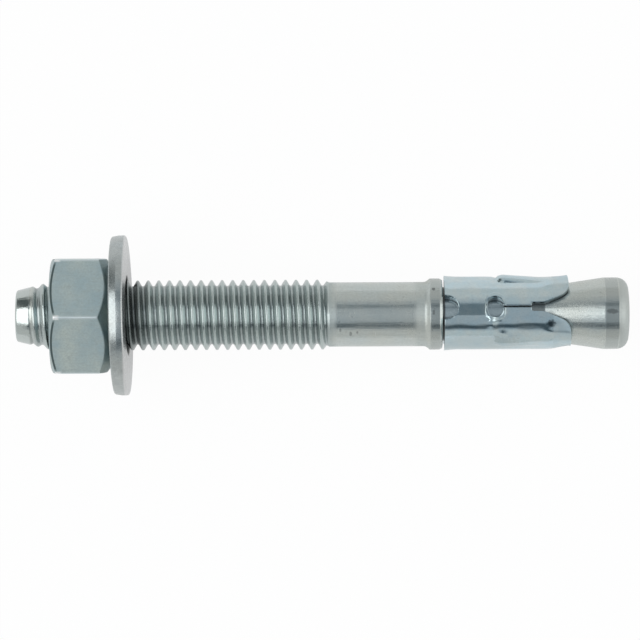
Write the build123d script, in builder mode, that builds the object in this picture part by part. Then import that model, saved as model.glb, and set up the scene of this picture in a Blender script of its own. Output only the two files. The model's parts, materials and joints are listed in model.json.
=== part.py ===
from build123d import *
from math import atan2, cos, radians, sin, tan
import os

# Wedge anchor for a 12 mm hole: a one-piece bolt with a hex nut, a washer and an expansion clip.
# Sizes are in millimetres and angles in degrees. A station is a distance along the bolt from the
# stud's end towards the cone.

# Bolt
point_length = 3.1  # plain tapered point in front of the thread
point_end_diameter = 8.5
point_base_diameter = 9.75
point_chamfer = 0.3
thread_diameter = 11.8  # over the crests
thread_pitch = 1.75
threaded_length = 48.0
shank_length = 16.9
collar_length = 2.5
collar_height = 0.57  # over the shank
collar_chamfer = 0.25
neck_length = 16.8
neck_diameter = 8.9
cone_length = 9.9
cone_diameter = 11.94
land_length = 1.9  # full-size band behind the cone
nose_length = 2.2
nose_diameter = 11.2
nose_rounding = 1.2

# Hex nut
stud_projection = 5.8  # from the stud's end to the nut's outer face
nut_across_flats = 18.9
nut_height = 10.0
nut_face_diameter = 17.5  # flat face left by the corner chamfer
nut_chamfer_angle = 30.0
nut_countersink = 0.7
nut_turn = 2.0  # one corner stands this far off straight up
nut_clearance = 0.05  # around the thread's crests

# Washer
washer_diameter = 26.7
washer_thickness = 2.6
washer_chamfer = 0.35
washer_clearance = 0.6  # around the thread's crests

# Expansion clip
finger_count = 3
clip_thickness = 1.35
clip_clearance = 0.1  # around the neck and the cone
clip_end_gap = 0.3  # behind the collar
clip_turn = 11.5  # one slit stands this far off straight up
seam_gap = 0.3  # between the wrapped sheet's two edges
finger_overlap = 4.1  # reach of the fingers over the cone
notch_radius = 2.05
notch_depth = 2.3
hole_setback = 8.6  # from the clip's collar end to the holes' centres
hole_length = 2.65
hole_width = 3.5
hole_rim_width = 0.6  # raised around each hole
hole_rim_height = 0.22
slit_width = 0.25
mouth_length = 6.0  # from the fingers' tips to the bottom of the gap between two of them
mouth_width = 1.5
mouth_corner_radius = 0.3
flare_length = 4.0  # the gap widens over this last stretch
flare_width = 5.5  # between the fingers' tips, before their corners are rounded
flare_bend_radius = 2.5
finger_corner_radius = 2.0
tip_length = 2.5  # the fingers' tips spread over this last stretch
tip_rise = 0.25
rib_length = 11.6  # from the finger's tip
rib_width = 3.2
rib_height = 0.62
rib_tip_height = 0.2
rib_ramp = 1.4
rib_end_radius = 1.5
rib_draft = 35.0  # slope of the sides

# Stations
thread_start = point_length
thread_end = thread_start + threaded_length
collar_start = thread_end + shank_length
collar_end = collar_start + collar_length
cone_start = collar_end + neck_length
cone_end = cone_start + cone_length
land_end = cone_end + land_length
nose_end = land_end + nose_length
nut_start = stud_projection
nut_end = nut_start + nut_height
bearing_face = nut_end + washer_thickness
clip_start = collar_end + clip_end_gap
clip_tip = cone_start + finger_overlap

# The thread has the metric form and is rolled, so the shank keeps the blank's pitch diameter.
# The stud is solid over its crests here, and the nut's bore runs on them.
thread_depth = 0.6134 * thread_pitch
shank_diameter = thread_diameter - 0.6495 * thread_pitch
collar_diameter = shank_diameter + 2 * collar_height

# The anchor lies on the washer's rim and the edge of the cone's land, pointing along +X and falling
# towards the cone. The origin is on the floor under the middle of the bolt.
washer_contact = bearing_face - washer_chamfer
rest_angle = atan2((washer_diameter - cone_diameter) / 2, land_end - washer_contact)
middle = nose_end / 2
middle_height = washer_diameter / 2 * cos(rest_angle) - (middle - washer_contact) * sin(rest_angle)
forward = Vector(cos(rest_angle), 0, -sin(rest_angle))
upward = Vector(sin(rest_angle), 0, cos(rest_angle))
stud_end = Vector(0, 0, middle_height) - middle * forward
bolt_axis = Axis(stud_end, forward)

# Side view of the bolt: x is the station and y the height over its axis
side_view = Plane(origin=stud_end, x_dir=forward, z_dir=(0, -1, 0))


def cross_section(station):
    """Plane square to the bolt at a station, facing the cone, with its x pointing up."""
    return Plane(origin=stud_end + station * forward, x_dir=upward, z_dir=forward)


def facing(angle):
    """Plane through the bolt's axis that faces outwards at an angle from straight up."""
    return Plane(origin=stud_end, x_dir=forward, z_dir=upward.rotate(bolt_axis, angle))


def rim(edges, station, diameter):
    """The circle of one diameter that lies nearest to a station."""
    circles = edges.filter_by(GeomType.CIRCLE)
    same_size = circles.filter_by(lambda edge: abs(2 * edge.radius - diameter) < 0.001)
    return same_size.sort_by_distance(stud_end + station * forward)[0]


# Bolt: point, thread, shank, collar, neck, cone and nose, formed from one blank
with BuildPart() as bolt:
    with BuildSketch(side_view):
        with BuildLine():
            Polyline(
                (0, 0),
                (0, point_end_diameter / 2),
                (point_length, point_base_diameter / 2),
                (thread_start, thread_diameter / 2 - thread_depth),
                (thread_start + thread_depth, thread_diameter / 2),
                (thread_end - thread_pitch, thread_diameter / 2),
                (thread_end, shank_diameter / 2),
                (collar_start, shank_diameter / 2),
                (collar_start, collar_diameter / 2),
                (collar_end, collar_diameter / 2),
                (collar_end, neck_diameter / 2),
                (cone_start, neck_diameter / 2),
                (cone_end, cone_diameter / 2),
                (land_end, cone_diameter / 2),
                (nose_end, nose_diameter / 2),
                (nose_end, 0),
                close=True,
            )
        make_face()
    revolve(axis=bolt_axis)
    chamfer(rim(bolt.edges(), 0, point_end_diameter), point_chamfer)
    fillet(rim(bolt.edges(), nose_end, nose_diameter), nose_rounding)
    collar_rims = [rim(bolt.edges(), end, collar_diameter) for end in (collar_start, collar_end)]
    chamfer(collar_rims, collar_chamfer)

# Hex nut: a hexagonal bar, turned to chamfered corners and a countersunk bore
nut_corner_radius = nut_across_flats / 2 / cos(radians(30))
nut_chamfer = (nut_corner_radius - nut_face_diameter / 2) * tan(radians(nut_chamfer_angle))
nut_bore_radius = thread_diameter / 2 + nut_clearance
with BuildPart() as hex_nut:
    with BuildSketch(cross_section(nut_start)):
        RegularPolygon(nut_corner_radius, side_count=6, rotation=nut_turn)
    extrude(amount=nut_height)
    with BuildSketch(side_view):
        with BuildLine():
            Polyline(
                (nut_start, nut_bore_radius + nut_countersink),
                (nut_start, nut_face_diameter / 2),
                (nut_start + nut_chamfer, nut_corner_radius),
                (nut_end - nut_chamfer, nut_corner_radius),
                (nut_end, nut_face_diameter / 2),
                (nut_end, nut_bore_radius + nut_countersink),
                (nut_end - nut_countersink, nut_bore_radius),
                (nut_start + nut_countersink, nut_bore_radius),
                close=True,
            )
        make_face()
    revolve(axis=bolt_axis, mode=Mode.INTERSECT)

# Washer: stamped ring against the nut's inner face
with BuildPart() as washer:
    with BuildSketch(cross_section(nut_end)):
        Circle(washer_diameter / 2)
        Circle(thread_diameter / 2 + washer_clearance, mode=Mode.SUBTRACT)
    extrude(amount=washer_thickness)
    washer_rims = [rim(washer.edges(), end, washer_diameter) for end in (nut_end, bearing_face)]
    chamfer(washer_rims, washer_chamfer)

# Expansion clip: a thick sheet wrapped round the neck, with fingers that thin out over the cone.
# Notch, hole, slit and mouth stand in one line between each two fingers.
clip_inner_radius = neck_diameter / 2 + clip_clearance
clip_outer_radius = clip_inner_radius + clip_thickness
cone_slope = (cone_diameter - neck_diameter) / 2 / cone_length
tip_inner_radius = clip_inner_radius + finger_overlap * cone_slope
cut_reach = 2 * clip_outer_radius
finger_pitch = 360 / finger_count
slit_planes = [facing(finger_pitch * i - clip_turn) for i in range(finger_count)]
finger_planes = [facing(finger_pitch * (i + 0.5) - clip_turn) for i in range(finger_count)]
tip_bend = clip_tip - tip_length

# Ribs: one raised band along the middle of each finger, ramped and rounded at its collar end
rib_start = clip_tip - rib_length
with BuildPart() as ribs:
    with BuildSketch(*[plane.offset(clip_outer_radius) for plane in finger_planes]) as rib_outline:
        with Locations((rib_start, 0)):
            Rectangle(2 * rib_length, rib_width, align=(Align.MIN, Align.CENTER))
        fillet(vertices().group_by(Axis.X)[0], rib_end_radius)
    extrude(amount=-clip_thickness)
    extrude(rib_outline.sketch, amount=rib_height, taper=rib_draft)
    with BuildSketch(side_view):
        with BuildLine():
            Polyline(
                (rib_start, tip_inner_radius),
                (rib_start, clip_outer_radius),
                (rib_start + rib_ramp, clip_outer_radius + rib_height),
                (tip_bend, clip_outer_radius + rib_tip_height),
                (clip_tip, clip_outer_radius + rib_tip_height + tip_rise),
                (clip_tip, tip_inner_radius),
                close=True,
            )
        make_face()
    revolve(axis=bolt_axis, mode=Mode.INTERSECT)

# Raised rims around the holes
with BuildPart() as hole_rims:
    with BuildSketch(*slit_planes):
        with Locations((clip_start + hole_setback, 0)):
            SlotOverall(hole_width + 2 * hole_rim_width, hole_length + 2 * hole_rim_width, rotation=90)
    extrude(amount=cut_reach)
    with BuildSketch(side_view):
        with Locations((clip_start, clip_inner_radius)):
            Rectangle(
                tip_bend - clip_start,
                clip_thickness + hole_rim_height,
                align=(Align.MIN, Align.MIN),
            )
    revolve(axis=bolt_axis, mode=Mode.INTERSECT)

with BuildPart() as expansion_clip:
    with BuildSketch(side_view):
        with BuildLine():
            Polyline(
                (clip_start, clip_inner_radius),
                (clip_start, clip_outer_radius),
                (tip_bend, clip_outer_radius),
                (clip_tip, clip_outer_radius + tip_rise),
                (clip_tip, tip_inner_radius),
                (cone_start, clip_inner_radius),
                close=True,
            )
        make_face()
    revolve(axis=bolt_axis)
    add([ribs.part, hole_rims.part])
    with BuildSketch(*slit_planes):
        with Locations((clip_start + notch_depth - notch_radius, 0)):
            Circle(notch_radius)
        with Locations((clip_start + hole_setback, 0)):
            SlotOverall(hole_width, hole_length, rotation=90)
            Rectangle(
                clip_tip - mouth_length / 2 - clip_start - hole_setback,
                slit_width,
                align=(Align.MIN, Align.CENTER),
            )
        with BuildLine():
            mouth_edge = FilletPolyline(
                (clip_tip - mouth_length, 0),
                (clip_tip - mouth_length, mouth_width / 2),
                (clip_tip - flare_length, mouth_width / 2),
                (clip_tip, flare_width / 2),
                (clip_tip, clip_outer_radius),
                radius=[mouth_corner_radius, flare_bend_radius, finger_corner_radius],
            )
            Polyline(
                mouth_edge @ 1,
                (clip_tip + mouth_length, clip_outer_radius),
                (clip_tip + mouth_length, 0),
            )
            mirror(about=Plane.XZ)
        make_face()
    extrude(amount=cut_reach, mode=Mode.SUBTRACT)
    with BuildSketch(slit_planes[1]):
        with Locations((clip_start, 0)):
            Rectangle(clip_tip - clip_start, seam_gap, align=(Align.MIN, Align.CENTER))
    extrude(amount=cut_reach, mode=Mode.SUBTRACT)

bolt.part.label = "bolt"
hex_nut.part.label = "hex_nut"
washer.part.label = "washer"
expansion_clip.part.label = "expansion_clip"

os.makedirs("parts", exist_ok=True)
export_step(bolt.part, "parts/bolt.step")
export_step(hex_nut.part, "parts/hex_nut.step")
export_step(washer.part, "parts/washer.step")
export_step(expansion_clip.part, "parts/expansion_clip.step")
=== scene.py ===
import json
from math import cos, pi, radians, sin, sqrt, tan

import bpy
from mathutils import Matrix, Vector, noise


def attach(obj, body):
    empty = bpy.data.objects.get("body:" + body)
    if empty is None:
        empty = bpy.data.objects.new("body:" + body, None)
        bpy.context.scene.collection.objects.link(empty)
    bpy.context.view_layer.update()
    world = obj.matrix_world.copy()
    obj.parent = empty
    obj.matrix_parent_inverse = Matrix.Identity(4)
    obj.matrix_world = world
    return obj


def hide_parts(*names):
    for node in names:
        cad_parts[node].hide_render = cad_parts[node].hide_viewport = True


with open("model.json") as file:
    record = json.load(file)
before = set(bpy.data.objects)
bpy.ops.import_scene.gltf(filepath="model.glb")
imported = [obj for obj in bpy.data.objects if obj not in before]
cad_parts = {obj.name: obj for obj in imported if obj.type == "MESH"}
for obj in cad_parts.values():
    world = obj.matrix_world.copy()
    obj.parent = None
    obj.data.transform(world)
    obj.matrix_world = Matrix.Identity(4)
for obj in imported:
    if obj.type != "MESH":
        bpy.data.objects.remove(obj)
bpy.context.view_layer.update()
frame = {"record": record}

# Every piece is modelled in millimetres along the X axis, from the stud's end, with Z up from the
# bolt's axis. seat() then lays it in the frame, where the bolt falls a little towards its cone.
landMount = next(mount for mount in frame["record"]["mounts"] if mount["name"] == "cone_land")
landStation = 98.15  # the land's middle, from the stud's end
perMetre = 1000  # millimetres
mergeDistance = 0.0005  # closer vertices than this become one
forward = Vector(landMount["axis"]).normalized()
across = Vector((0, 1, 0))
upward = forward.cross(across)
studEnd = Vector(landMount["pos_m"]) - forward * landStation / perMetre
boltTurn = Matrix((forward, across, upward)).transposed()
boltFrame = Matrix.Translation(studEnd) @ boltTurn.to_4x4() @ Matrix.Scale(1 / perMetre, 4)


def deselect():
    if bpy.context.mode != "OBJECT":
        bpy.ops.object.mode_set(mode="OBJECT")
    bpy.ops.object.select_all(action="DESELECT")


def select(piece):
    deselect()
    piece.select_set(True)
    bpy.context.view_layer.objects.active = piece


def edit(piece, everything=True):
    select(piece)
    bpy.ops.object.mode_set(mode="EDIT")
    bpy.ops.mesh.select_mode(type="VERT")
    bpy.ops.mesh.select_all(action="SELECT" if everything else "DESELECT")


def applyModifier(piece, kind, **settings):
    select(piece)
    modifier = piece.modifiers.new(kind.title(), kind)
    for setting, value in settings.items():
        setattr(modifier, setting, value)
    bpy.ops.object.modifier_apply(modifier=modifier.name)


def drawLine(name, points):
    # one vertex, extruded from point to point
    deselect()
    bpy.ops.mesh.primitive_plane_add(size=1)
    line = bpy.context.object
    line.name = name
    edit(line)
    bpy.ops.mesh.merge(type="CENTER")
    bpy.ops.transform.translate(value=points[0])
    for start, end in zip(points, points[1:]):
        bpy.ops.mesh.extrude_region_move(TRANSFORM_OT_translate={"value": end - start})
    bpy.ops.object.mode_set(mode="OBJECT")
    return line


def clamped(value):
    return min(1, max(0, value))


def smoothed(value):
    # from 0 to 1, level at both ends
    return clamped(value) ** 2 * (3 - 2 * clamped(value))


def roundedLine(corners, arcSteps=5):
    # points through (station, height, rounding) corners, with an arc at each rounded one
    places = [Vector((x, 0, z)) for x, z, rounding in corners]
    points = []
    for i, here in enumerate(places):
        rounding = corners[i][2]
        if rounding == 0:
            points.append(here)
            continue
        before = (places[i - 1] - here).normalized()
        after = (places[i + 1] - here).normalized()
        half = before.angle(after) / 2
        middle = here + (before + after).normalized() * rounding / sin(half)
        start = (here + before * rounding / tan(half) - middle).normalized()
        end = (here + after * rounding / tan(half) - middle).normalized()
        for step in range(arcSteps + 1):
            points.append(middle + start.slerp(end, step / arcSteps) * rounding)
    return points


def closeMesh(piece):
    edit(piece)
    bpy.ops.mesh.remove_doubles(threshold=mergeDistance)
    bpy.ops.mesh.normals_make_consistent(inside=False)
    bpy.ops.object.mode_set(mode="OBJECT")


def turned(name, corners, sides):
    # an outline over the bolt's axis, spun round it
    piece = drawLine(name, roundedLine(corners))
    edit(piece)
    bpy.ops.mesh.spin(steps=sides, angle=2 * pi, center=(0, 0, 0), axis=(1, 0, 0))
    closeMesh(piece)
    return piece


def cut(piece, tool, operation="DIFFERENCE"):
    applyModifier(piece, "BOOLEAN", object=tool, operation=operation, solver="EXACT")
    bpy.data.objects.remove(tool)


def seat(piece, smoothAngle):
    # lays a finished piece in the frame, with its place in its mesh
    piece.matrix_world = boltFrame
    select(piece)
    bpy.ops.object.transform_apply(location=True, rotation=True, scale=True)
    bpy.ops.object.shade_smooth_by_angle(angle=radians(smoothAngle))
    applyModifier(piece, "WEIGHTED_NORMAL", keep_sharp=True)


def dress(piece, node, finish):
    piece.data.materials.clear()
    piece.data.materials.append(finish)
    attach(piece, node)
    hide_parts(node)


def addNode(tree, kind, inputs=(), **settings):
    # a node with its settings, and its inputs given as values or as other nodes' outputs
    made = tree.nodes.new(kind)
    for setting, value in settings.items():
        setattr(made, setting, value)
    for socket, value in dict(inputs).items():
        if isinstance(value, bpy.types.NodeSocket):
            tree.links.new(value, made.inputs[socket])
        else:
            made.inputs[socket].default_value = value
    return made


def boltCoordinates(tree):
    # millimetres along and around the bolt's axis, fixed to the piece
    place = addNode(tree, "ShaderNodeTexCoord").outputs["Object"]
    back = boltTurn.transposed()
    return addNode(tree, "ShaderNodeMapping", {
        "Vector": place,
        "Location": back @ studEnd * -perMetre,
        "Rotation": back.to_euler(),
        "Scale": (perMetre, perMetre, perMetre),
    }).outputs["Vector"]


def pattern(tree, place, stretch, scale, detail, roughness=0.55):
    # noise, drawn out along the bolt or round it
    stretched = addNode(tree, "ShaderNodeMapping", {"Vector": place, "Scale": stretch}).outputs["Vector"]
    return addNode(tree, "ShaderNodeTexNoise", {
        "Vector": stretched, "Scale": scale, "Detail": detail, "Roughness": roughness,
    }).outputs["Fac"]


def remap(tree, value, low, high, start=0.0, end=1.0):
    return addNode(tree, "ShaderNodeMapRange", {
        "Value": value, "From Min": low, "From Max": high, "To Min": start, "To Max": end,
    }).outputs["Result"]


def mixTone(tree, factor, first, second):
    # a Mix node has a socket for each kind of value, so its colours are found by number
    mixed = addNode(tree, "ShaderNodeMix", data_type="RGBA")
    for socket, value in ((0, factor), (6, first), (7, second)):
        if isinstance(value, bpy.types.NodeSocket):
            tree.links.new(value, mixed.inputs[socket])
        else:
            mixed.inputs[socket].default_value = value
    return mixed.outputs[2]


def calculate(tree, operation, first, second):
    return addNode(tree, "ShaderNodeMath", {0: first, 1: second}, operation=operation).outputs["Value"]


def added(tree, first, second):
    return calculate(tree, "ADD", first, second)


def times(tree, first, second):
    return calculate(tree, "MULTIPLY", first, second)


def between(tree, value, start, end, soft):
    # 1 from start to end, fading to 0 on both sides
    rising = remap(tree, value, start - soft, start)
    return times(tree, rising, remap(tree, value, end + soft, end))


# how every plated finish spreads its noise: a layer grows from a spread's first value to its second
plating = {
    "cloudDetail": 3.0, "cloudSpread": (0.35, 0.65), "softSpread": (0.3, 0.7),
    "grainDetail": 6.0, "grainRoughness": 0.65, "grainSpread": (0.35, 0.7),
    "markDetail": 4.0, "markRoughness": 0.6, "markSpread": (0.5, 0.75),
    "pitDetail": 1.0, "pitSpread": (0.71, 0.77),
    "spotUneven": 0.35, "spotCore": 0.7, "bumpHeight": 0.01,
}


def chamferLine(tree, station, radius, line):
    # painted shade: a dark line on the flats' rim, just inside the cone that a chamfer was cut to
    cone = times(tree, added(tree, station, -line["start"]), line["slope"])
    inside = calculate(tree, "SUBTRACT", added(tree, cone, line["radius"]), radius)
    offCorner = remap(tree, radius, line["corner"], line["corner"] - line["cornerFade"])
    return times(tree, between(tree, inside, line["near"], line["far"], line["soft"]), offCorner)


def spotAmount(tree, place, grain, spot):
    # 1 inside an uneven patch about a point, falling to 0 at its rim
    away = addNode(tree, "ShaderNodeVectorMath", {0: place, 1: spot["at"]}, operation="SUBTRACT")
    shares = addNode(tree, "ShaderNodeVectorMath", {0: away.outputs["Vector"], 1: spot["size"]},
                     operation="DIVIDE")
    far = addNode(tree, "ShaderNodeVectorMath", {0: shares.outputs["Vector"]}, operation="LENGTH")
    ragged = remap(tree, grain, *plating["softSpread"], -plating["spotUneven"], plating["spotUneven"])
    return remap(tree, added(tree, far.outputs["Value"], ragged), 1.0, plating["spotCore"])


def zincPlate(name, look):
    # bright zinc on steel: clouded passivation, fine grain, tool marks and pits, with painted shade in
    # recesses and painted highlights on edges
    finish = bpy.data.materials.new(name)
    finish.use_nodes = True
    tree = finish.node_tree
    shader = tree.nodes["Principled BSDF"]
    shader.inputs["Metallic"].default_value = 1.0
    place = boltCoordinates(tree)
    apart = addNode(tree, "ShaderNodeSeparateXYZ", {"Vector": place}).outputs
    section = addNode(tree, "ShaderNodeCombineXYZ", {"Y": apart["Y"], "Z": apart["Z"]}).outputs["Vector"]
    radius = addNode(tree, "ShaderNodeVectorMath", {0: section}, operation="LENGTH").outputs["Value"]

    even = (1, 1, 1)
    clouds = pattern(tree, place, even, look["cloudScale"], plating["cloudDetail"])
    grain = pattern(tree, place, even, look["grainScale"], plating["grainDetail"], plating["grainRoughness"])
    marks = pattern(tree, place, look["markStretch"], look["markScale"], plating["markDetail"],
                    plating["markRoughness"])
    pits = remap(tree, pattern(tree, place, even, look["pitScale"], plating["pitDetail"]),
                 *plating["pitSpread"])

    tone = mixTone(tree, remap(tree, clouds, *plating["cloudSpread"]), look["coolTone"], look["warmTone"])
    for layer, spread, depth in (
            (grain, plating["grainSpread"], look["grainDepth"]),
            (marks, plating["markSpread"], look["markDepth"]),
            (pits, (0.0, 1.0), look["pitDepth"])):
        tone = mixTone(tree, remap(tree, layer, *spread, 0.0, depth), tone, look["dullTone"])
    rough = added(tree, remap(tree, clouds, *plating["softSpread"], look["smooth"], look["rough"]),
                  remap(tree, grain, *plating["softSpread"], 0.0, look["grainRough"]))

    for zone in look.get("zones", []):
        # a stretch of the bolt's length, and where a radius is given, only from its first value to its second
        amount = between(tree, apart["X"], zone["start"], zone["end"], zone["soft"])
        if "radius" in zone:
            amount = times(tree, amount, remap(tree, radius, *zone["radius"]))
        if "tone" in zone:
            tone = mixTone(tree, times(tree, amount, zone["depth"]), tone, zone["tone"])
        if "rough" in zone:
            rough = added(tree, rough, times(tree, amount, zone["rough"]))
    for spot in look.get("spots", []):
        amount = spotAmount(tree, place, grain, spot)
        tone = mixTone(tree, times(tree, amount, spot["depth"]), tone, spot["tone"])
    for line in look.get("chamferLines", []):
        amount = chamferLine(tree, apart["X"], radius, line)
        tone = mixTone(tree, times(tree, amount, line["depth"]), tone, line["tone"])
    tree.links.new(tone, shader.inputs["Base Color"])
    tree.links.new(rough, shader.inputs["Roughness"])

    raised = added(tree, remap(tree, grain, 0, 1, 0, look["grainRelief"]),
                   remap(tree, marks, 0, 1, 0, look["markRelief"]))
    relief = calculate(tree, "SUBTRACT", raised, times(tree, pits, look["pitDepth"]))
    bump = addNode(tree, "ShaderNodeBump", {
        "Height": relief, "Strength": 1.0, "Distance": plating["bumpHeight"] / perMetre})
    tree.links.new(bump.outputs["Normal"], shader.inputs["Normal"])
    return finish


# stations are counted from the stud's end, and heights from the axis
bolt = {
    "sides": 128,
    "pointEnd": 4.22, "pointLength": 2.25, "pointSlope": 0.25, "pointChamfer": 0.4,
    "pointRings": (0.3, 0.05),  # before the thread; the first keeps the cone's shading straight
    "crest": 5.8, "pitch": 1.75, "threadDepth": 0.96, "flankAngle": 30.0, "turnSteps": 96,
    "crestFlat": 0.3, "crestRounding": 0.2, "rootRounding": 0.22, "firstCrest": 1.26,
    "startShare": 0.5, "startLength": 0.7,  # the first groove's depth, and how soon it has it
    "threadEnd": 51.8, "runOut": 0.9, "shankGap": 0.1, "shank": 5.33,
    "collarStart": 67.75, "collarEnd": 70.5, "collar": 5.9, "collarRounding": 0.15,
    "shoulder": 0.7, "shoulderFoot": 0.95, "shoulderTop": 0.12, "collarEdge": 0.5, "collarDrop": 0.24,
    "neck": 4.45, "coneStart": 87.3, "coneBend": 1.5, "coneEnd": 97.2, "cone": 5.93, "coneCorner": 0.6,
    "landEnd": 99.5, "landCorner": 0.3, "noseEnd": 101.3, "nose": 5.5, "noseRounding": 1.8,
    "smoothAngle": 30.0,
}
bolt["root"] = bolt["crest"] - bolt["threadDepth"]


def threadLine(thread, clearance):
    # one tooth between two roots, drawn over the axis; clearance moves every face outwards
    half = thread["pitch"] / 2
    flankSlope = tan(radians(thread["flankAngle"]))
    crestHalf = thread["crestFlat"] / 2 + clearance * flankSlope
    root, crest = thread["root"] + clearance, thread["crest"] + clearance
    flank = (crest - root) * flankSlope
    corners = [
        (-half, root, 0),
        (-crestHalf - flank, root, thread["rootRounding"]),
        (-crestHalf, crest, thread["crestRounding"]),
        (crestHalf, crest, thread["crestRounding"]),
        (crestHalf + flank, root, thread["rootRounding"]),
        (half, root, 0),
    ]
    return roundedLine(corners, arcSteps=3)


def helix(name, thread, start, end, clearance=0.0):
    # the tooth, turned and advanced by one pitch a turn from before one station to past the other
    pitch = thread["pitch"]
    spareTurns = 3
    turns = int((end - start) / pitch) + spareTurns
    first = thread["firstCrest"] + pitch * (int((start - thread["firstCrest"]) / pitch) - 1)
    piece = drawLine(name, [point + Vector((first, 0, 0)) for point in threadLine(thread, clearance)])
    applyModifier(piece, "SCREW", axis="X", angle=2 * pi, screw_offset=pitch, iterations=turns,
                  steps=thread["turnSteps"], render_steps=thread["turnSteps"], use_merge_vertices=False)
    closeMesh(piece)
    return piece


def trim(piece, station, side, fill=False):
    # cuts away what lies before (-1) or past (1) a station
    edit(piece)
    bpy.ops.mesh.bisect(
        plane_co=(station, 0, 0), plane_no=(side, 0, 0), clear_outer=True, use_fill=fill)
    bpy.ops.object.mode_set(mode="OBJECT")


def joinLoops(piece, station, reach=0.5):
    # bridges the two open rings beside a station
    edit(piece, everything=False)
    bpy.ops.mesh.select_mode(type="EDGE")
    bpy.ops.object.mode_set(mode="OBJECT")
    faceCounts = {}
    for face in piece.data.polygons:
        for key in face.edge_keys:
            faceCounts[key] = faceCounts.get(key, 0) + 1
    near = [abs(vertex.co.x - station) < reach for vertex in piece.data.vertices]
    for ringEdge in piece.data.edges:
        first, second = ringEdge.vertices
        ringEdge.select = near[first] and near[second] and faceCounts.get(ringEdge.key, 0) == 1
    bpy.ops.object.mode_set(mode="EDIT")
    bpy.ops.mesh.bridge_edge_loops()
    bpy.ops.object.mode_set(mode="OBJECT")


def fitThread(thread, size):
    # low first turns on the point's cone, full turns after it, and a run-out into the shank
    threadStart, threadEnd = size["pointLength"], size["threadEnd"]
    for vertex in thread.data.vertices:
        place = vertex.co
        radius = place.yz.length
        cone = size["pointEnd"] + size["pointSlope"] * place.x
        started = size["startShare"] * clamped((place.x - threadStart) / size["startLength"])
        grown = max(started, clamped((cone - size["root"]) / size["threadDepth"]))
        wanted = min(cone, size["crest"]) - (size["crest"] - radius) * grown
        fade = clamped((threadEnd - place.x) / size["runOut"])
        wanted = size["shank"] + (wanted - size["shank"]) * fade
        place.y *= wanted / radius
        place.z *= wanted / radius
    trim(thread, threadStart, -1)
    trim(thread, threadEnd, 1)


def makeBolt(size):
    threadStart, threadEnd = size["pointLength"], size["threadEnd"]
    thread = helix("thread", size, threadStart, threadEnd)
    fitThread(thread, size)
    pointCorners = [(0, 0, 0), (0, size["pointEnd"], size["pointChamfer"])]
    for before in size["pointRings"]:
        station = threadStart - before
        pointCorners.append((station, size["pointEnd"] + size["pointSlope"] * station, 0))
    point = turned("point", pointCorners, size["sides"])
    rest = turned("threadedBolt", [
        (threadEnd + size["shankGap"], size["shank"], 0),
        (size["collarStart"], size["shank"], size["shoulderFoot"]),
        (size["collarStart"] + size["shoulder"], size["collar"], size["shoulderTop"]),
        (size["collarEnd"] - size["collarEdge"], size["collar"], size["collarRounding"]),
        (size["collarEnd"], size["collar"] - size["collarDrop"], size["collarRounding"]),
        (size["collarEnd"], size["neck"], size["collarRounding"]),
        (size["coneStart"], size["neck"], size["coneBend"]),
        (size["coneEnd"], size["cone"], size["coneCorner"]),
        (size["landEnd"], size["cone"], size["landCorner"]),
        (size["noseEnd"], size["nose"], size["noseRounding"]),
        (size["noseEnd"], 0, 0),
    ], size["sides"])
    deselect()
    for part in (thread, point, rest):
        part.select_set(True)
    bpy.context.view_layer.objects.active = rest
    bpy.ops.object.join()
    joinLoops(rest, threadStart)
    joinLoops(rest, threadEnd)
    closeMesh(rest)
    seat(rest, size["smoothAngle"])
    return rest


nut = {
    "start": 5.8, "height": 10.0, "acrossFlats": 18.8, "turn": 1.7, "edgeRounding": 0.14, "sharpAngle": 22.0,
    "outerFace": 9.0, "outerChamfer": 27.0, "bearingFace": 8.25, "bearingChamfer": 36.0,
    "cutterPast": 0.3, "cutterSides": 144, "countersink": 0.75, "sinkSides": 96, "threadClearance": 0.16,
    "tap": {"root": 4.83, "crest": 5.9, "crestFlat": 0.1, "crestRounding": 0.08, "rootRounding": 0.15},
    "smoothAngle": 30.0,
}


def chamferCorners(blank, size, corner):
    # a turned envelope with a cone at each face takes the corners off
    start, end = size["start"], size["start"] + size["height"]
    past = corner + size["cutterPast"]
    outerReach = (past - size["outerFace"]) * tan(radians(size["outerChamfer"]))
    bearingReach = (past - size["bearingFace"]) * tan(radians(size["bearingChamfer"]))
    envelope = turned("envelope", [
        (start, 0, 0),
        (start, size["outerFace"], 0),
        (start + outerReach, past, 0),
        (end - bearingReach, past, 0),
        (end, size["bearingFace"], 0),
        (end, 0, 0),
    ], size["cutterSides"])
    cut(blank, envelope, "INTERSECT")
    closeMesh(blank)
    applyModifier(blank, "BEVEL", width=size["edgeRounding"], segments=3, limit_method="ANGLE",
                  angle_limit=radians(size["sharpAngle"]), harden_normals=False)


def tapHole(blank, size, thread):
    # a countersink of 45 degrees at each face, then the thread
    start, end = size["start"], size["start"] + size["height"]
    mouth = thread["crest"] + size["countersink"]
    outside, inside = 1, 2
    for face, inwards in ((start, 1), (end, -1)):
        sink = turned("countersink", [
            (face - inwards * outside, 0, 0),
            (face - inwards * outside, mouth + outside, 0),
            (face + inwards * inside, mouth - inside, 0),
            (face + inwards * inside, 0, 0),
        ], size["sinkSides"])
        cut(blank, sink)
    tap = helix("tap", thread, start - inside, end + inside, size["threadClearance"])
    trim(tap, start - outside, -1, fill=True)
    trim(tap, end + outside, 1, fill=True)
    closeMesh(tap)
    cut(blank, tap)
    closeMesh(blank)  # the cuts leave points that coincide


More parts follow.
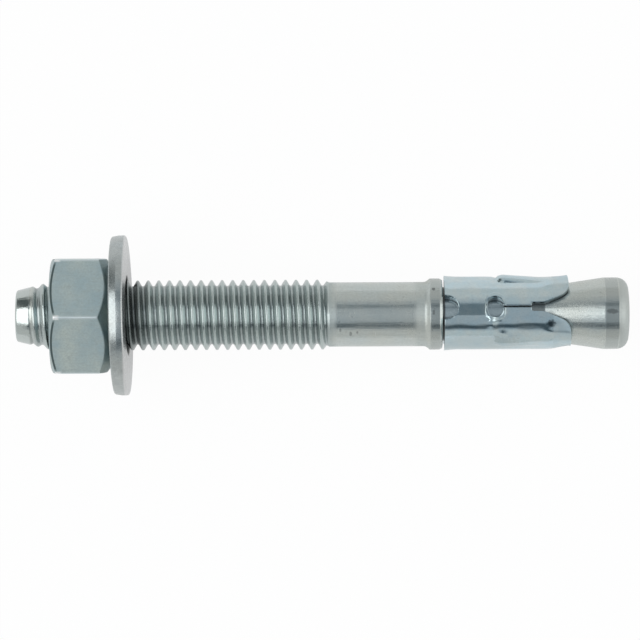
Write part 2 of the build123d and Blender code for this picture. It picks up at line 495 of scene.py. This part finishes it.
def makeNut(size, boltThread):
    corner = size["acrossFlats"] / 2 / cos(pi / 6)
    deselect()
    bpy.ops.mesh.primitive_cylinder_add(
        vertices=6, radius=corner, depth=size["height"],
        location=(size["start"] + size["height"] / 2, 0, 0), rotation=(0, pi / 2, 0))
    blank = bpy.context.object
    blank.name = "chamferedNut"
    bpy.ops.object.transform_apply(location=True, rotation=True, scale=True)
    edit(blank)  # a corner goes to the top, and a little past it
    bpy.ops.transform.rotate(value=pi / 6 - radians(size["turn"]), orient_axis="X", center_override=(0, 0, 0))
    bpy.ops.object.mode_set(mode="OBJECT")
    chamferCorners(blank, size, corner)
    tapHole(blank, size, {**boltThread, **size["tap"]})
    seat(blank, size["smoothAngle"])
    return blank


washer = {
    "start": 15.8, "thickness": 2.4, "radius": 13.27, "hole": 6.5, "sides": 160,
    "rollOver": 0.22, "rollLength": 1.25, "rollRounding": 0.9, "rolledCorner": 0.35,
    "shearedEdge": 0.35, "holeEdge": 0.25, "outlineStart": 1.0, "smoothAngle": 30.0,
    "leanSide": 0.95, "leanNear": 1.1, "shift": 0.2,  # it hangs loosely, leaning against the nut
}


def makeWasher(size):
    start, end = size["start"], size["start"] + size["thickness"]
    wall = (start + size["outlineStart"], size["hole"], 0)
    ring = turned("roundedWasher", [
        wall,
        (start, size["hole"], size["holeEdge"]),
        (start, size["radius"] - size["rollOver"], size["rolledCorner"]),
        (start + size["rollLength"], size["radius"], size["rollRounding"]),
        (end, size["radius"], size["shearedEdge"]),
        (end, size["hole"], size["holeEdge"]),
        wall,
    ], size["sides"])
    edit(ring)
    for lean, axis in ((size["leanSide"], "Z"), (-size["leanNear"], "Y")):
        bpy.ops.transform.rotate(value=-radians(lean), orient_axis=axis, center_override=(start, 0, 0))
    bpy.ops.transform.translate(value=(size["shift"], 0, 0))
    bpy.ops.object.mode_set(mode="OBJECT")
    seat(ring, size["smoothAngle"])
    return ring


# the clip is cut and embossed as a flat sheet, with Y round the bolt from the seam, then wrapped
clip = {
    "start": 70.8, "tip": 91.4, "outer": 5.9, "thickness": 1.35, "fingers": 3,
    "seamAngle": 108.5, "seamGap": 0.34, "edgeRounding": 0.14, "sharpAngle": 28.0,
    "notch": 71.05, "notchRadius": 2.05, "notchPoint": 1.001, "notchCorner": 0.99,  # beside the collar
    "hole": 79.15, "holeLength": 2.6, "holeWidth": 3.5, "holeCorner": 0.49, "slit": 0.3,
    "mouth": 85.1, "mouthWidth": 1.5, "mouthCorner": 0.3,
    "flare": 87.2, "flareWidth": 5.5, "flareBend": 2.5, "fingerCorner": 2.4,
    "cutDepth": 2.0, "margin": 1.0, "overlap": 0.2,  # how far the cutters and the uncut sheet reach past
    "ribStart": 79.2, "ribRamp": 1.5, "ribTipHeight": 0.05,
    "rimWidth": 0.5, "rimReach": 0.9, "rimHeight": 0.2, "rimDraft": 45.0, "rimCorner": 0.499, "rimRoot": 0.5,
    "lipLength": 2.3, "lipRise": 0.16, "tipLength": 2.5, "tipRise": 0.22,
    "tipFlatStart": 2.55, "tipFlatEnd": 4.25, "tipFlatFrom": 86.0, "tipFlatTo": 89.5,  # beside the flare
    "coneStart": 87.3, "coneSlope": 0.1535,
    "flatBefore": 0.26, "flatPast": 1.6, "flatFade": 3.8, "flatEnd": 6.4,  # between the notch and the hole
    "slitRise": 0.1, "slitReach": 1.2, "slitLead": 0.5,
    "tuck": 0.65, "tuckStart": 87.8, "tuckReach": 6.6, "tuckBend": 3.2,  # the last finger's corner
    "stationStep": 0.5, "wrapStep": 0.25, "smoothAngle": 32.0,
    # hand-pressed unevenness of the rolled edges, the skin and the slits
    "rimUneven": 0.8, "rimScale": 0.9, "rimSeed": 3,
    "dents": 0.03, "dentScale": 0.35, "dentSeed": 0,
    "waver": 0.09, "waverReach": 0.8, "waverScale": 1.3, "waverSeed": 8, "waverApart": 5,
    "skew": 0.25, "skewAngle": 60.0,  # the fingers' ends aren't quite square
}
# pressed marks beside each slit: station, place round from the slit, length, width, height and slope
clipMarks = [
    (78.4, 2.8, 1.0, 2.0, 0.12, 0.0),
    (84.6, 3.45, 7.0, 1.7, -0.03, 0.0),
    (88.3, 2.8, 2.3, 3.3, 0.0, -0.14),
    (80.3, 4.7, 1.7, 1.5, 0.15, 0.0),
]
# each finger's rib, round from the slit before it: the back's start and end, the crest, the foot, the height
clipRibs = [
    (4.1, 5.4, 6.6, 7.45, 0.68),
    (4.1, 5.4, 6.6, 7.45, 0.68),
    (4.3, 6.7, 6.9, 7.9, 0.42),
]


def prism(name, corners, low, high, draft=0.0):
    # a closed outline in the sheet's plane, raised from one height to another with sloping sides
    points = roundedLine(corners)
    piece = drawLine(name, [Vector((point.x, point.z, low)) for point in points])
    edit(piece)
    bpy.ops.mesh.remove_doubles(threshold=mergeDistance)
    bpy.ops.mesh.edge_face_add()
    bpy.ops.mesh.extrude_region_move(TRANSFORM_OT_translate={"value": (0, 0, high - low)})
    inset = (high - max(low, 0)) * tan(radians(draft))
    long = max(point.x for point in points) - min(point.x for point in points)
    wide = max(point.z for point in points) - min(point.z for point in points)
    middle = (max(point.x for point in points) - long / 2, 0, high)
    bpy.ops.transform.resize(value=(1 - 2 * inset / long, 1 - 2 * inset / wide, 1), center_override=middle)
    closeMesh(piece)
    return piece


def slotCorners(station, length, width, rounding):
    low, high, half = station - length / 2, station + length / 2, width / 2
    return [
        (low, 0, 0),
        (low, half, rounding),
        (high, half, rounding),
        (high, -half, rounding),
        (low, -half, rounding),
        (low, 0, 0),
    ]


def mirrored(upper):
    # an outline's upper half and the same half below the middle, as one closed line
    return upper + [(x, -z, rounding) for x, z, rounding in reversed(upper)] + upper[:1]


def copyTo(piece, around):
    deselect()
    made = piece.copy()
    made.data = piece.data.copy()
    bpy.context.scene.collection.objects.link(made)
    edit(made)
    bpy.ops.transform.translate(value=(0, around, 0))
    bpy.ops.object.mode_set(mode="OBJECT")
    return made


def clipCutters(size):
    # the notch, then the hole, slit, mouth and the fingers' tips in one
    deep = size["cutDepth"]
    reach = pi * size["outer"] / size["fingers"] + size["overlap"]
    radius = size["notchRadius"]
    notch = prism("notch", mirrored([
        (size["notch"] - radius * size["notchPoint"], 0, 0),
        (size["notch"] - radius, radius, radius * size["notchCorner"]),
        (size["notch"] + radius, radius, radius * size["notchCorner"]),
    ]), -deep, deep)
    holeStart = size["hole"] - size["holeLength"] / 2
    holeEnd = size["hole"] + size["holeLength"] / 2
    holeRounding = size["holeLength"] * size["holeCorner"]
    gap = prism("gap", mirrored([
        (holeStart, 0, 0),
        (holeStart, size["holeWidth"] / 2, holeRounding),
        (holeEnd, size["holeWidth"] / 2, holeRounding),
        (holeEnd, size["slit"] / 2, 0),
        (size["mouth"], size["slit"] / 2, 0),
        (size["mouth"], size["mouthWidth"] / 2, size["mouthCorner"]),
        (size["flare"], size["mouthWidth"] / 2, size["flareBend"]),
        (size["tip"], size["flareWidth"] / 2, size["fingerCorner"]),
        (size["tip"], reach, 0),
        (size["tip"] + deep, reach, 0),
    ]), -deep, deep)
    return notch, gap


def ribRise(size, x, place, rib):
    # a ridge between two slits: a soft back, a steep side, a domed start and a fade towards the tip
    back, top, crest, foot, height = rib
    ramp = clamped((x - size["ribStart"]) / size["ribRamp"])
    grown = sqrt(ramp * (2 - ramp))
    fadeStart = size["ribStart"] + size["ribRamp"]
    fade = clamped((x - fadeStart) / (size["tip"] - size["tipLength"] - fadeStart))
    middle = (top + crest) / 2
    narrowest = 0.01
    place = middle + (place - middle) / max(grown, narrowest)
    soft = smoothed((place - back) / (top - back))
    steep = 1 - clamped((place - crest) / (foot - crest)) ** 2
    return (height + (size["ribTipHeight"] - height) * fade) * grown * min(soft, steep)


def skinRise(size, x, fromSlit, pitch, rib):
    # how far the sheet stands off a true cylinder: its ends, ribs, flats and pressed marks
    tipBend = size["tip"] - size["tipLength"]
    rise = size["lipRise"] * clamped(1 - (x - size["start"]) / size["lipLength"]) ** 2
    rise += size["tipRise"] * max(0, (x - tipBend) / size["tipLength"]) ** 2
    rise += ribRise(size, x, fromSlit % pitch, rib)
    slitted = clamped((x - size["hole"]) + size["slitLead"])
    rise += slitted * size["slitRise"] * clamped(1 - abs(fromSlit) / size["slitReach"])
    flat = min(max(0, fromSlit + size["flatBefore"]), size["flatBefore"] + size["flatPast"])
    kept = smoothed((size["flatEnd"] - fromSlit) / (size["flatEnd"] - size["flatFade"]))
    rise += (1 - slitted) * flat ** 2 / (2 * size["outer"]) * kept
    tipFlat = min(abs(fromSlit), size["tipFlatEnd"]) - size["tipFlatStart"]
    tipShare = smoothed((x - size["tipFlatFrom"]) / (size["tipFlatTo"] - size["tipFlatFrom"]))
    rise += tipShare * max(0, tipFlat) ** 2 / (2 * size["outer"])
    for station, around, long, wide, height, slope in clipMarks:
        along = clamped(abs(x - station) / long * 2)
        over = clamped(abs(fromSlit - around) / wide * 2)
        window = (cos(pi * along) + 1) * (cos(pi * over) + 1) / 4
        rise += window * (height + slope * (fromSlit - around))
    return rise


def wrapClip(piece, size, length):
    # thins the fingers over the cone, spreads both ends and lays the sheet round the bolt
    tip, outer, thickness = size["tip"], size["outer"], size["thickness"]
    pitch = length / size["fingers"]
    for vertex in piece.data.vertices:
        x, y, z = vertex.co
        fromSlit = (y + pitch / 2) % pitch - pitch / 2
        rib = clipRibs[min(size["fingers"] - 1, max(0, int(y / pitch)))]
        inner = outer - thickness + max(0, x - size["coneStart"]) * size["coneSlope"]
        share = clamped((z + thickness) / thickness)  # 0 on the sheet's inside, 1 on its outside
        # the last finger's corner beside the seam is pressed in
        tucked = smoothed((x - size["tuckStart"]) / (tip - size["tuckStart"]))
        tucked *= smoothed((y - length + size["tuckReach"]) / size["tuckBend"])
        rise = skinRise(size, x, fromSlit, pitch, rib) - size["tuck"] * tucked
        radius = inner + (outer + rise - inner) * share
        if z > 0:  # the rolled edge round a hole
            place = Vector((x * size["rimScale"], y * size["rimScale"], size["rimSeed"]))
            radius += z * (1 + size["rimUneven"] * noise.noise(place))
        place = Vector((x * size["dentScale"], y * size["dentScale"], size["dentSeed"]))
        radius += size["dents"] * noise.noise(place) * share
        near = clamped(1 - abs(fromSlit) / size["waverReach"])
        place = Vector((x * size["waverScale"], round(y / pitch) * size["waverApart"], size["waverSeed"]))
        y += size["waver"] * near * noise.noise(place)
        angle = radians(size["seamAngle"]) + y / outer
        spread = max(0, (x - size["mouth"]) / (tip - size["mouth"]))
        x += size["skew"] * cos(angle - radians(size["skewAngle"])) * spread
        vertex.co = (x, -radius * sin(angle), radius * cos(angle))


def cutSheet(size, length):
    # the sheet with a rolled edge round each hole, its cut-outs, and its two ends at the seam
    pitch = length / size["fingers"]
    start, end = size["start"], size["tip"] + size["margin"]
    low, high = -size["margin"], length + size["margin"]
    sheet = prism("embossedClip", [
        (start, low, 0), (start, high, 0), (end, high, 0), (end, low, 0), (start, low, 0),
    ], -size["thickness"], 0)
    rimLength = size["holeLength"] + 2 * size["rimWidth"]
    rimWidth = size["holeWidth"] + 2 * size["rimReach"]
    rim = prism("rim", slotCorners(size["hole"], rimLength, rimWidth, size["rimCorner"] * rimLength),
                -size["rimRoot"], size["rimHeight"], size["rimDraft"])
    notch, gap = clipCutters(size)
    for i in range(1, size["fingers"]):  # none at the seam
        cut(sheet, copyTo(rim, i * pitch), "UNION")
    for i in range(size["fingers"] + 1):
        cut(sheet, copyTo(notch, i * pitch))
        cut(sheet, copyTo(gap, i * pitch))
    for tool in (rim, notch, gap):
        bpy.data.objects.remove(tool)
    seam = size["seamGap"] / 2
    for place, side in ((seam, -1), (length - seam, 1)):
        edit(sheet)
        bpy.ops.mesh.bisect(plane_co=(0, place, 0), plane_no=(0, side, 0), clear_outer=True, use_fill=True)
    closeMesh(sheet)
    applyModifier(sheet, "BEVEL", width=size["edgeRounding"], segments=2, limit_method="ANGLE",
                  angle_limit=radians(size["sharpAngle"]))
    return sheet


def makeClip(size):
    length = 2 * pi * size["outer"]
    sheet = cutSheet(size, length)
    stations = int((size["tip"] - size["start"]) / size["stationStep"])
    for i in range(1, stations + 1):
        edit(sheet)
        bpy.ops.mesh.bisect(plane_co=(size["start"] + i * size["stationStep"], 0, 0), plane_no=(1, 0, 0))
    rows = int(length / size["wrapStep"])
    for i in range(1, rows):
        edit(sheet)
        bpy.ops.mesh.bisect(plane_co=(0, i * length / rows, 0), plane_no=(0, 1, 0))
    bpy.ops.object.mode_set(mode="OBJECT")
    wrapClip(sheet, size, length)
    closeMesh(sheet)
    seat(sheet, size["smoothAngle"])
    return sheet


viewpoint = {
    "pixelsPerMillimetre": 6.03, "pictureWidth": 640, "sensorWidth": 36.0, "nearest": 0.01,
    "distance": 660.0, "station": 50.27, "below": 0.9, "roll": -0.28,
}


def makeCamera(view):
    camera = bpy.data.objects.new("camera", bpy.data.cameras.new("camera"))
    bpy.context.scene.collection.objects.link(camera)
    place = boltFrame @ Vector((view["station"], -view["below"], view["distance"]))
    turn = boltTurn @ Matrix.Rotation(radians(view["roll"]), 3, "Z")
    camera.matrix_world = Matrix.Translation(place) @ turn.to_4x4()
    camera.data.sensor_width = view["sensorWidth"]
    camera.data.lens = (
        view["pixelsPerMillimetre"] * view["distance"] * view["sensorWidth"] / view["pictureWidth"])
    camera.data.clip_start = view["nearest"]
    bpy.context.scene.camera = camera


# a pale room with dull panels and two softboxes overhead; a panel fades in from each side's first value
# to its second, in the direction's X part for left and right and its Y part for front and back
studio = {
    "floorSize": 8, "paper": (0.9, 0.9, 0.9, 1), "paperSeen": 0.955, "paperMirrored": 0.5,
    "white": (1, 1, 1, 1), "walls": (0.705, 0.715, 0.705, 1), "horizon": (0.0, 0.05),
    "panels": [
        {"left": (-0.45, -0.25), "right": (0.45, 0.25), "front": (-0.86, -0.76), "back": (0.86, 0.58),
         "tone": (0.46, 0.505, 0.54, 1)},
        {"left": (-0.45, -0.3), "right": (0.45, 0.3), "front": (0.36, 0.42), "back": (0.58, 0.52),
         "tone": (0.17, 0.21, 0.235, 1)},
        {"left": (-0.52, -0.44), "right": (0.62, 0.45), "front": (-0.76, -0.71), "back": (-0.515, -0.6),
         "tone": (0.06, 0.085, 0.1, 1)},
        {"left": (-0.63, -0.56), "right": (-0.3, -0.36), "front": (0.47, 0.52), "back": (0.94, 0.86),
         "tone": (0.11, 0.13, 0.13, 1)},
    ],
    "lampDistance": 0.8,
    "softboxes": [  # leaning by their tilt from overhead, towards the nut (-) or the cone (+)
        {"name": "leftSoftbox", "tilt": -33, "width": 0.96, "length": 0.71, "strength": 1.42},
        {"name": "rightSoftbox", "tilt": 52, "width": 0.9, "length": 0.5, "strength": 0.95},
    ],
}


def makeSoftbox(box, distance):
    lamp = bpy.data.objects.new(box["name"], bpy.data.lights.new(box["name"], "AREA"))
    bpy.context.scene.collection.objects.link(lamp)
    lamp.data.shape = "ELLIPSE"
    lamp.data.size = box["width"]
    lamp.data.size_y = box["length"]
    lamp.data.energy = box["strength"] * box["width"] * box["length"] * pi * pi / 4
    tilt = radians(box["tilt"])
    direction = boltTurn @ Vector((sin(tilt), 0, cos(tilt)))
    lamp.location = direction * distance
    lamp.rotation_euler = direction.to_track_quat("Z", "Y").to_euler()


def makeFloor(room):
    deselect()
    bpy.ops.mesh.primitive_plane_add(size=room["floorSize"])
    floor = bpy.context.object
    floor.name = "floor"
    paper = bpy.data.materials.new("whitePaper")
    paper.use_nodes = True
    tree = paper.node_tree
    shader = tree.nodes["Principled BSDF"]
    shader.inputs["Base Color"].default_value = room["paper"]
    shader.inputs["Roughness"].default_value = 1.0
    glow = addNode(tree, "ShaderNodeEmission", {"Color": room["white"], "Strength": 1.0})
    ray = addNode(tree, "ShaderNodeLightPath").outputs
    share = calculate(tree, "MAXIMUM", times(tree, ray["Is Camera Ray"], room["paperSeen"]),
                      times(tree, ray["Is Glossy Ray"], room["paperMirrored"]))
    mixed = addNode(tree, "ShaderNodeMixShader", {
        0: share, 1: shader.outputs["BSDF"], 2: glow.outputs["Emission"]})
    tree.links.new(mixed.outputs["Shader"], tree.nodes["Material Output"].inputs["Surface"])
    floor.data.materials.append(paper)


def makeWorld(room):
    world = bpy.data.worlds.new("studio")
    bpy.context.scene.world = world
    world.use_nodes = True
    tree = world.node_tree
    toward = addNode(tree, "ShaderNodeTexCoord").outputs["Generated"]
    boltward = addNode(tree, "ShaderNodeMapping", {
        "Vector": toward, "Rotation": boltTurn.transposed().to_euler()}).outputs["Vector"]
    apart = addNode(tree, "ShaderNodeSeparateXYZ", {"Vector": boltward}).outputs
    tone = room["walls"]
    for panel in room["panels"]:
        inside = remap(tree, apart["Z"], *room["horizon"])
        for side, axis in (("left", "X"), ("right", "X"), ("front", "Y"), ("back", "Y")):
            inside = times(tree, inside, remap(tree, apart[axis], *panel[side]))
        tone = mixTone(tree, inside, tone, panel["tone"])
    ray = addNode(tree, "ShaderNodeLightPath").outputs
    tone = mixTone(tree, ray["Is Camera Ray"], tone, room["white"])
    tree.links.new(tone, tree.nodes["Background"].inputs["Color"])


bpy.context.scene.view_settings.view_transform = "Standard"
makeCamera(viewpoint)
makeFloor(studio)
makeWorld(studio)
for softbox in studio["softboxes"]:
    makeSoftbox(softbox, studio["lampDistance"])
print("studio ready")

# a near-black tone for dark patches, and for painted shade in grooves, holes and gaps between parts
dirtAndShade = (0.06, 0.065, 0.065, 1)
dullZinc = (0.38, 0.41, 0.40, 1)
boltFinish = zincPlate("platedBolt", {
    "cloudScale": 0.18, "grainScale": 3.0, "markScale": 1.0, "markStretch": (0.12, 2.2, 2.2), "pitScale": 1.3,
    "coolTone": (0.53, 0.58, 0.57, 1), "warmTone": (0.56, 0.585, 0.55, 1), "dullTone": dullZinc,
    "grainDepth": 0.4, "markDepth": 0.3, "pitDepth": 0.8, "smooth": 0.16, "rough": 0.24, "grainRough": 0.06,
    "grainRelief": 0.6, "markRelief": 2.6,
    "spots": [  # dark patches on the land, collar, shank and cone
        {"at": (98.4, 0.3, 5.95), "size": (1.1, 0.45, 2), "tone": dirtAndShade, "depth": 0.5},
        {"at": (69.0, 4.1, 4.2), "size": (0.3, 0.3, 1), "tone": dirtAndShade, "depth": 0.6},
        {"at": (69.0, 0.3, 5.9), "size": (0.25, 0.5, 2), "tone": dirtAndShade, "depth": 0.45},
        {"at": (53.6, -2.6, 4.65), "size": (0.2, 0.35, 1), "tone": dirtAndShade, "depth": 0.35},
        {"at": (55.3, -3.2, 4.25), "size": (0.25, 0.45, 1), "tone": dirtAndShade, "depth": 0.4},
        {"at": (56.4, -3.0, 4.4), "size": (0.2, 0.3, 1), "tone": dirtAndShade, "depth": 0.35},
        {"at": (88.2, 0.1, 4.7), "size": (0.9, 0.45, 2), "tone": dirtAndShade, "depth": 0.3},
    ],
    "zones": [
        # the point, the thread, painted shade in its grooves and in its first groove, and painted shade on
        # the thread beside the washer, which shades it
        {"start": -1.0, "end": 2.2, "soft": 0.2, "tone": (0.49, 0.54, 0.535, 1), "depth": 0.6, "rough": -0.1},
        {"start": 3.5, "end": 51.5, "soft": 1.0, "tone": (0.45, 0.51, 0.505, 1), "depth": 0.8},
        # painted shade deep in the grooves, darker towards the root
        {"start": 3.5, "end": 51.5, "soft": 1.0, "radius": (5.5, 4.9), "tone": (0.2, 0.22, 0.23, 1),
         "depth": 0.35},
        # painted shade in the first groove beside the point
        {"start": 2.4, "end": 3.4, "soft": 0.2, "radius": (4.82, 4.7), "tone": (0.2, 0.23, 0.23, 1),
         "depth": 0.6},
        # painted shade on the thread beside the washer
        {"start": 18.0, "end": 20.0, "soft": 2.5, "tone": dirtAndShade, "depth": 0.65},
        # both ends of the shank, and the collar
        {"start": 51.9, "end": 52.5, "soft": 0.7, "rough": 0.25},
        {"start": 66.6, "end": 67.8, "soft": 1.0, "rough": 0.25},
        {"start": 68.7, "end": 70.2, "soft": 0.4, "tone": dullZinc, "depth": 0.7},
        # painted shade on the collar's far face, in the gap before the clip; the neck under the clip, and
        # painted shade on the neck under the slits' mouths
        {"start": 70.6, "end": 70.9, "soft": 0.1, "radius": (5.6, 5.2), "tone": dirtAndShade, "depth": 0.9},
        {"start": 71.0, "end": 84.0, "soft": 0.2, "tone": (0.38, 0.46, 0.5, 1), "depth": 0.7},
        {"start": 84.2, "end": 87.2, "soft": 0.3, "tone": (0.2, 0.22, 0.22, 1), "depth": 0.7},
        # the land, the cone and the nose
        {"start": 97.4, "end": 99.4, "soft": 0.1, "tone": dullZinc, "depth": 0.75},
        {"start": 88.0, "end": 97.2, "soft": 0.5, "rough": 0.02},
        {"start": 99.7, "end": 102.0, "soft": 0.2, "tone": (0.5, 0.53, 0.52, 1), "depth": 0.6, "rough": 0.3},
    ],
})
dress(makeBolt(bolt), "bolt", boltFinish)
print("bolt ready")

nutFinish = zincPlate("platedNut", {
    "cloudScale": 0.2, "grainScale": 3.0, "markScale": 1.0, "markStretch": (0.5, 3.0, 3.0), "pitScale": 0.8,
    "coolTone": (0.43, 0.55, 0.59, 1), "warmTone": (0.59, 0.66, 0.63, 1), "dullTone": (0.36, 0.42, 0.42, 1),
    "grainDepth": 0.5, "markDepth": 0.35, "pitDepth": 0.4, "smooth": 0.3, "rough": 0.4, "grainRough": 0.1,
    "grainRelief": 1.0, "markRelief": 0.5,
    "zones": [  # painted highlights on the edges between the flats, with a white glint near the outer face, and painted shade in the bore
        {"start": 6.7, "end": 7.4, "soft": 0.4, "radius": (10.6, 10.72), "tone": (1.0, 1.0, 1.0, 1),
         "depth": 1.0},
        {"start": 8.0, "end": 13.8, "soft": 1.5, "radius": (10.65, 10.78), "tone": (0.7, 0.77, 0.79, 1),
         "depth": 0.7},
        # painted shade inside the bore and its countersinks
        {"start": 0.0, "end": 20.0, "soft": 1.0, "radius": (6.5, 6.0), "tone": dirtAndShade, "depth": 0.8},
    ],
    # painted shade as a dark line along the flats' rim at the outer chamfer
    "chamferLines": [
        {"start": nut["start"], "radius": nut["outerFace"], "slope": 1 / tan(radians(nut["outerChamfer"])),
         "near": 0.08, "far": 0.62, "soft": 0.1, "corner": 10.7, "cornerFade": 0.35,
         "tone": (0.07, 0.1, 0.1, 1), "depth": 0.9},
    ],
})
dress(makeNut(nut, bolt), "hex_nut", nutFinish)
print("nut ready")

washerFinish = zincPlate("platedWasher", {
    "cloudScale": 0.15, "grainScale": 2.5, "markScale": 1.0, "markStretch": (1.0, 1.0, 1.0), "pitScale": 1.0,
    "coolTone": (0.44, 0.485, 0.49, 1), "warmTone": (0.47, 0.49, 0.475, 1), "dullTone": (0.33, 0.35, 0.35, 1),
    "grainDepth": 0.6, "markDepth": 0.5, "pitDepth": 0.6, "smooth": 0.2, "rough": 0.28, "grainRough": 0.1,
    "grainRelief": 1.4, "markRelief": 1.6,
    "zones": [  # the face towards the clip lightened as a painted reflection, and painted shade on the hole's wall
        {"start": 18.1, "end": 25.0, "soft": 0.25, "tone": (0.66, 0.655, 0.655, 1), "depth": 0.7},
        {"start": 10.0, "end": 25.0, "soft": 1.0, "radius": (6.9, 6.5), "tone": dirtAndShade, "depth": 0.9},
    ],
})
dress(makeWasher(washer), "washer", washerFinish)
print("washer ready")

clipFinish = zincPlate("platedClip", {
    "cloudScale": 0.4, "grainScale": 2.5, "markScale": 1.0, "markStretch": (0.4, 1.2, 1.2), "pitScale": 1.0,
    "coolTone": (0.495, 0.62, 0.67, 1), "warmTone": (0.565, 0.64, 0.65, 1), "dullTone": (0.39, 0.47, 0.5, 1),
    "grainDepth": 0.3, "markDepth": 0.3, "pitDepth": 0.3, "smooth": 0.09, "rough": 0.15, "grainRough": 0.05,
    "grainRelief": 0.3, "markRelief": 0.8,
    # painted shade on the pressed dent near a finger's tip, and a long, fainter dark patch along the clip's
    # side towards -Y
    "spots": [
        {"at": (88.35, -1.6, 5.7), "size": (0.72, 0.68, 1.5), "tone": (0.1, 0.12, 0.13, 1), "depth": 0.75},
        {"at": (76.0, -5.0, 3.2), "size": (9.0, 1.9, 3.5), "tone": (0.36, 0.42, 0.43, 1), "depth": 0.45},
    ],
    "zones": [  # painted shade on the sheet's inside and the lower part of its cut edges, and the fingers' tips
        {"start": 60.0, "end": 100.0, "soft": 1.0, "radius": (5.8, 5.3), "tone": (0.12, 0.14, 0.15, 1),
         "depth": 0.85},
        {"start": 88.9, "end": 100.0, "soft": 0.6, "rough": 0.2},
    ],
})
dress(makeClip(clip), "expansion_clip", clipFinish)
print("clip ready")
